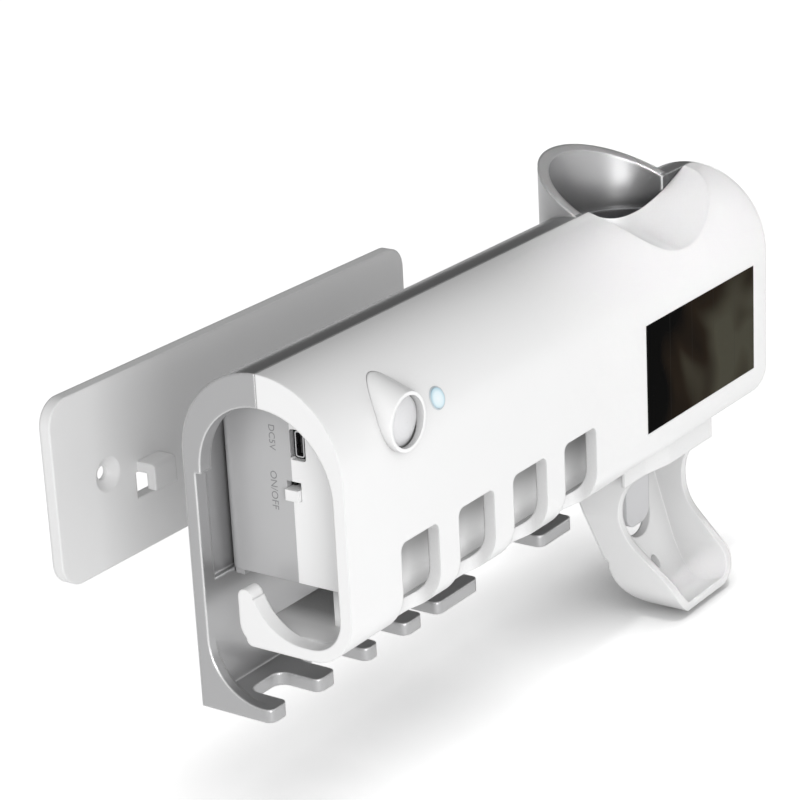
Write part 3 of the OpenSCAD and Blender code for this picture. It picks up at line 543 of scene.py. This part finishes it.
def milky_material():
    m = bpy.data.materials.new("milky_lens")
    m.use_nodes = True
    tree = m.node_tree
    shader = tree.nodes["Principled BSDF"]
    reach = distance_from(tree, middle_of("sensor_lens"), (1, 0, 1))
    rings = maths(tree, "PINGPONG", reach, RING_PITCH)
    tone = tree.nodes.new("ShaderNodeHueSaturation")
    tone.inputs["Color"].default_value = (0.72, 0.72, 0.73, 1)
    feed(tree, remap(tree, rings, (0.0, RING_PITCH), (0.985, 1.0)), tone.inputs["Value"])
    tree.links.new(tone.outputs["Color"], shader.inputs["Base Color"])
    shader.inputs["Roughness"].default_value = 0.32
    shader.inputs["Subsurface Weight"].default_value = 0.25
    shader.inputs["Subsurface Radius"].default_value = (1, 1, 1)
    shader.inputs["Subsurface Scale"].default_value = 0.002
    return m


def guide_material():
    m = bpy.data.materials.new("light_guide")
    m.use_nodes = True
    tree = m.node_tree
    shader = tree.nodes["Principled BSDF"]
    middle = middle_of("led_lens")
    middle[2] += 1.2 * MM
    reach = distance_from(tree, middle, (1, 0, 1.08))
    core = ramp(tree, remap(tree, reach, (0.0, GUIDE_RADIUS)), (
        (0.0, (0.90, 0.97, 1.0)),
        (0.6, (0.80, 0.93, 0.98)),
        (1.0, (0.42, 0.62, 0.72)),
    ))
    tree.links.new(core, shader.inputs["Base Color"])
    shader.inputs["Roughness"].default_value = 0.2
    shader.inputs["Coat Weight"].default_value = 0.5
    return m


dress(milky_material(), "sensor_lens")
dress(guide_material(), "led_lens")
print("ring pitch in mm:", RING_PITCH / MM)


# %% [markdown]
# ## Printed marks
# The case carries two small printed marks beside its socket and its switch, which read from
# top to bottom. Ink is a few hundredths of a millimetre thick, so each mark is a text curve
# with a very thin extrusion, turned into a mesh. It faces the open left end.

# %% Printed marks on the case
CASE_FACE = 13.2  # the case's left face, in mm from the housing's left end
INK_HALF = 0.015 * MM
INK_LIFT = 0.02 * MM
printed_ink = plastic("printed_ink", (0.26, 0.26, 0.265), 0.6, edge=0)


def printed_mark(name, words, y, z_top, length):
    curve = bpy.data.curves.new(name, "FONT")
    curve.body = words
    curve.size = 3.4 * MM
    curve.extrude = INK_HALF
    curve.resolution_u = 4
    text = bpy.data.objects.new(name, curve)
    bpy.context.scene.collection.objects.link(text)
    bpy.context.view_layer.update()
    graph = bpy.context.evaluated_depsgraph_get()
    mesh = bpy.data.meshes.new_from_object(text.evaluated_get(graph))
    bpy.data.objects.remove(text)
    bpy.data.curves.remove(curve)
    low = [min(v.co[i] for v in mesh.vertices) for i in range(3)]
    high = [max(v.co[i] for v in mesh.vertices) for i in range(3)]
    grow = length * MM / (high[0] - low[0])
    start = at(CASE_FACE, y, z_top)
    for v in mesh.vertices:
        along = (v.co.x - low[0]) * grow
        across = (v.co.y - low[1]) * grow
        v.co = start + Vector((-INK_LIFT - v.co.z, -across, -along))
    mesh.name = name
    piece = bpy.data.objects.new(name, mesh)
    bpy.context.scene.collection.objects.link(piece)
    mesh.materials.append(printed_ink)
    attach(piece, "housing")
    print(name, "length:", length, "height:", round((high[1] - low[1]) * grow / MM, 2))
    return piece


switch_mark = printed_mark("switch_mark", "ON/OFF", 7.5, -33.4, 11.4)
socket_mark = printed_mark("socket_mark", "DC5V", 7.1, -19.8, 7.4)


# %% [markdown]
# ## Ring round the indicator
# A thin grey collar holds the light guide in the cover. It follows the rounded top, so each
# point of its section is laid on the cover's cylinder and then lifted a little.

# %% Indicator ring
TOP_RADIUS = 27.5
GUIDE_X, GUIDE_DEPTH = 47.6, 17.9
RING_STEPS = 72
RING_PROFILE = (  # radius from the indicator's middle and lift over the cover, in mm
    (2.92, -0.25), (2.92, 0.16), (3.02, 0.24), (3.22, 0.22), (3.36, 0.10), (3.38, -0.25),
)


def on_round_top(x, arc, lift):
    """A point on the cover's round top: arc in mm runs upward from the indicator's centre."""
    angle = math.asin((TOP_RADIUS - GUIDE_DEPTH) / TOP_RADIUS) + arc / TOP_RADIUS
    r = TOP_RADIUS + lift
    return at(x, -r * math.cos(angle), r * math.sin(angle) - TOP_RADIUS)


def build_indicator_ring():
    b = bmesh.new()
    rings = []
    for i in range(RING_STEPS):
        turn = math.tau * i / RING_STEPS
        across, up = math.cos(turn), math.sin(turn)
        rings.append([
            b.verts.new(on_round_top(GUIDE_X + radius * across, radius * up, lift))
            for radius, lift in RING_PROFILE
        ])
    for i in range(RING_STEPS):
        here, there = rings[i], rings[(i + 1) % RING_STEPS]
        for j in range(len(RING_PROFILE)):
            k = (j + 1) % len(RING_PROFILE)
            b.faces.new((here[j], there[j], there[k], here[k]))
    bmesh.ops.recalc_face_normals(b, faces=b.faces)
    mesh = bpy.data.meshes.new("indicator_ring")
    b.to_mesh(mesh)
    b.free()
    for face in mesh.polygons:
        face.use_smooth = True
    piece = bpy.data.objects.new("indicator_ring", mesh)
    bpy.context.scene.collection.objects.link(piece)
    mesh.materials.append(plastic("ring_grey", (0.52, 0.58, 0.62), 0.25, edge=0, coat=0.4))
    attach(piece, "housing")
    return piece


indicator_ring = build_indicator_ring()
print("ring faces:", len(indicator_ring.data.polygons))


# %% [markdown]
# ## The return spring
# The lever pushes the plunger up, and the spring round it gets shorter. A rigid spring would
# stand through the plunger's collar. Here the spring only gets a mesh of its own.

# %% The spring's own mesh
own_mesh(nodes["plunger_spring"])


# %% [markdown]
# ## Floor
# The picture is a catalogue shot on white. A plain pale floor would come out grey, since it only
# gets part of the light, and a brighter lamp would burn out the cover. So the floor gives off
# some light of its own, which fades where the object is near: a painted shadow under it. It glows
# less for other surfaces than for the camera, or the underside would be too bright.

# %% Build the floor
FLOOR_HALF = 6.0
FLOOR_GAP = 1 * MM


def build_floor():
    mesh = bpy.data.meshes.new("floor")
    b = bmesh.new()
    bmesh.ops.create_grid(b, x_segments=2, y_segments=2, size=FLOOR_HALF)
    bmesh.ops.translate(b, verts=b.verts, vec=(0, 0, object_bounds()[0][2] - FLOOR_GAP))
    b.to_mesh(mesh)
    b.free()
    o = bpy.data.objects.new("floor", mesh)
    bpy.context.scene.collection.objects.link(o)
    m = bpy.data.materials.new("floor_pale")
    m.use_nodes = True
    tree = m.node_tree
    shader = tree.nodes["Principled BSDF"]
    rough = remap(tree, noise(tree, object_place(tree), 3.0), (0.0, 1.0), (0.55, 0.62))
    tree.links.new(rough, shader.inputs["Roughness"])
    shader.inputs["Base Color"].default_value = grey(0.80)
    near = tree.nodes.new("ShaderNodeAmbientOcclusion")
    near.samples = 12
    near.inputs["Distance"].default_value = 50 * MM
    # Ambient occlusion darkens the glow near the object, a painted shadow.
    painted_shadow = maths(tree, "POWER", near.outputs["AO"], 3.0)
    tree.links.new(painted_shadow, shader.inputs["Emission Color"])
    seen = tree.nodes.new("ShaderNodeLightPath").outputs["Is Camera Ray"]
    strength = remap(tree, seen, (0.0, 1.0), (0.40, 0.70))
    tree.links.new(strength, shader.inputs["Emission Strength"])
    mesh.materials.append(m)
    o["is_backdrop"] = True
    return o


floor = build_floor()
print("floor height in mm:", round(floor.data.vertices[0].co.z / MM, 1))


# %% [markdown]
# ## Lights and room
# One broad lamp stands at the left front, low, so the front is bright and the round top falls
# off to grey. A narrow beam from above lights the inlet's scoop, which the lamp can't reach.
# The room does the rest: pale toward the left front, dim toward the right rear, which gives
# the silver shell something dark to reflect. The camera sees it as plain white.

# %% Lights
def soft_light(name, place, target, size, power):
    data = bpy.data.lights.new(name, "AREA")
    data.shape = "RECTANGLE"
    data.size, data.size_y = size
    data.energy = power
    o = bpy.data.objects.new(name, data)
    bpy.context.scene.collection.objects.link(o)
    o.location = place
    aim = Vector(target) - Vector(place)
    o.rotation_euler = aim.to_track_quat("-Z", "Y").to_euler()
    return o


soft_light("key", (-1.20, -1.50, 0.32), (0.0, -0.10, -0.03), (0.7, 0.7), 15.5)
scoop_light = soft_light("scoop", (0.03, -0.22, 0.62), (0.095, -0.112, 0.04), (0.10, 0.10), 0.013)
scoop_light.data.spread = math.radians(9)
print("lights:", len(bpy.data.lights))


# %% Room
BRIGHT_SIDE = (-0.74, -0.62, 0.26)


def build_room():
    world = bpy.data.worlds.new("studio")
    world.use_nodes = True
    tree = world.node_tree
    background = tree.nodes["Background"].inputs
    direction = tree.nodes.new("ShaderNodeTexCoord").outputs["Generated"]
    toward = vector_maths(tree, "DOT_PRODUCT", direction, BRIGHT_SIDE, "Value")
    level = remap(tree, toward, (-0.7, 0.9), (0.08, 0.78))
    seen = tree.nodes.new("ShaderNodeLightPath").outputs["Is Camera Ray"]
    tree.links.new(maths(tree, "MAXIMUM", level, seen), background["Strength"])
    background["Color"].default_value = grey(1)
    bpy.context.scene.world = world


build_room()
print("room's bright side:", BRIGHT_SIDE)


# %% [markdown]
# ## Camera
# The camera is long, so the edges hardly converge. Its place, its turn and its lens were
# solved from the object's own straight edges, which gives odd numbers. Moving it by eye would
# take longer and fit worse.

# %% Camera
SENSOR_WIDTH = 36.0
FOCAL_PIXELS = 2673.26  # for a picture 800 pixels wide


def build_camera():
    right = Vector((0.56927625, -0.82063944, -0.04975407))
    up = Vector((0.30419046, 0.15402103, 0.94007749))
    back = Vector((-0.76380149, -0.5502985, 0.3373112))
    data = bpy.data.cameras.new("camera")
    data.sensor_width = SENSOR_WIDTH
    data.lens = FOCAL_PIXELS * SENSOR_WIDTH / 800.0
    o = bpy.data.objects.new("camera", data)
    bpy.context.scene.collection.objects.link(o)
    turn = Matrix((right, up, back)).transposed().to_4x4()
    o.matrix_world = Matrix.Translation((-0.62788, -0.51781, 0.28939)) @ turn
    bpy.context.scene.camera = o
    return o


camera = build_camera()
bpy.context.scene.view_settings.view_transform = "Standard"
print("lens in mm:", round(camera.data.lens, 1))
